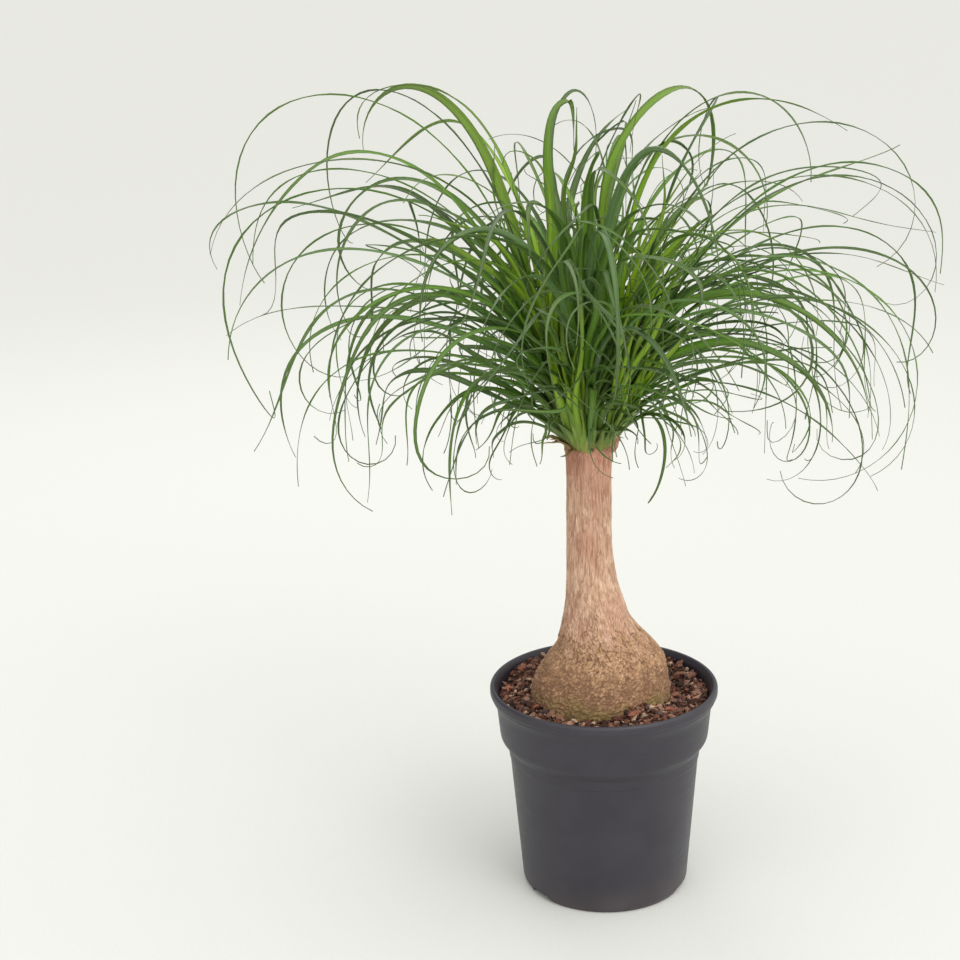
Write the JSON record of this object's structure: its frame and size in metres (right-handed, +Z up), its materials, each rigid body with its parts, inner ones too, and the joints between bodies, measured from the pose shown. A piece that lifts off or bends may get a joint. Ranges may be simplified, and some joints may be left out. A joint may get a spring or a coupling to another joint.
{
  "type": "potted ponytail palm",
  "caption": "Ponytail palm with a swollen trunk base and a fountain of long narrow arching leaves, growing in a round tapered plastic pot filled with bark soil.",
  "frame": {"origin": "centre of the pot's underside, on the surface that the pot stands on", "axes": "+Z up along the pot's axis; -Y towards the viewer of the picture; +X to that viewer's right"},
  "size_m": [0.6192, 0.5951, 0.7352],
  "materials": {
    "pot_plastic": "dark anthracite moulded plastic, satin, with fine scuffs and dust",
    "bark_soil": "loose chips of brown and reddish bark over dark compost, dry and matte",
    "trunk_bark": "tan corky bark, finely fissured up the stem and cracked into plates on the swollen base",
    "leaf_green": "leathery mid to dark green, finely ribbed lengthwise, with a soft sheen"
  },
  "bodies": {
    "root": {"pot": "pot_plastic", "soil": "bark_soil", "trunk": "trunk_bark", "shoot_front": "leaf_green", "shoot_right": "leaf_green", "shoot_back": "leaf_green", "shoot_left": "leaf_green"}
  },
  "joints": []
}
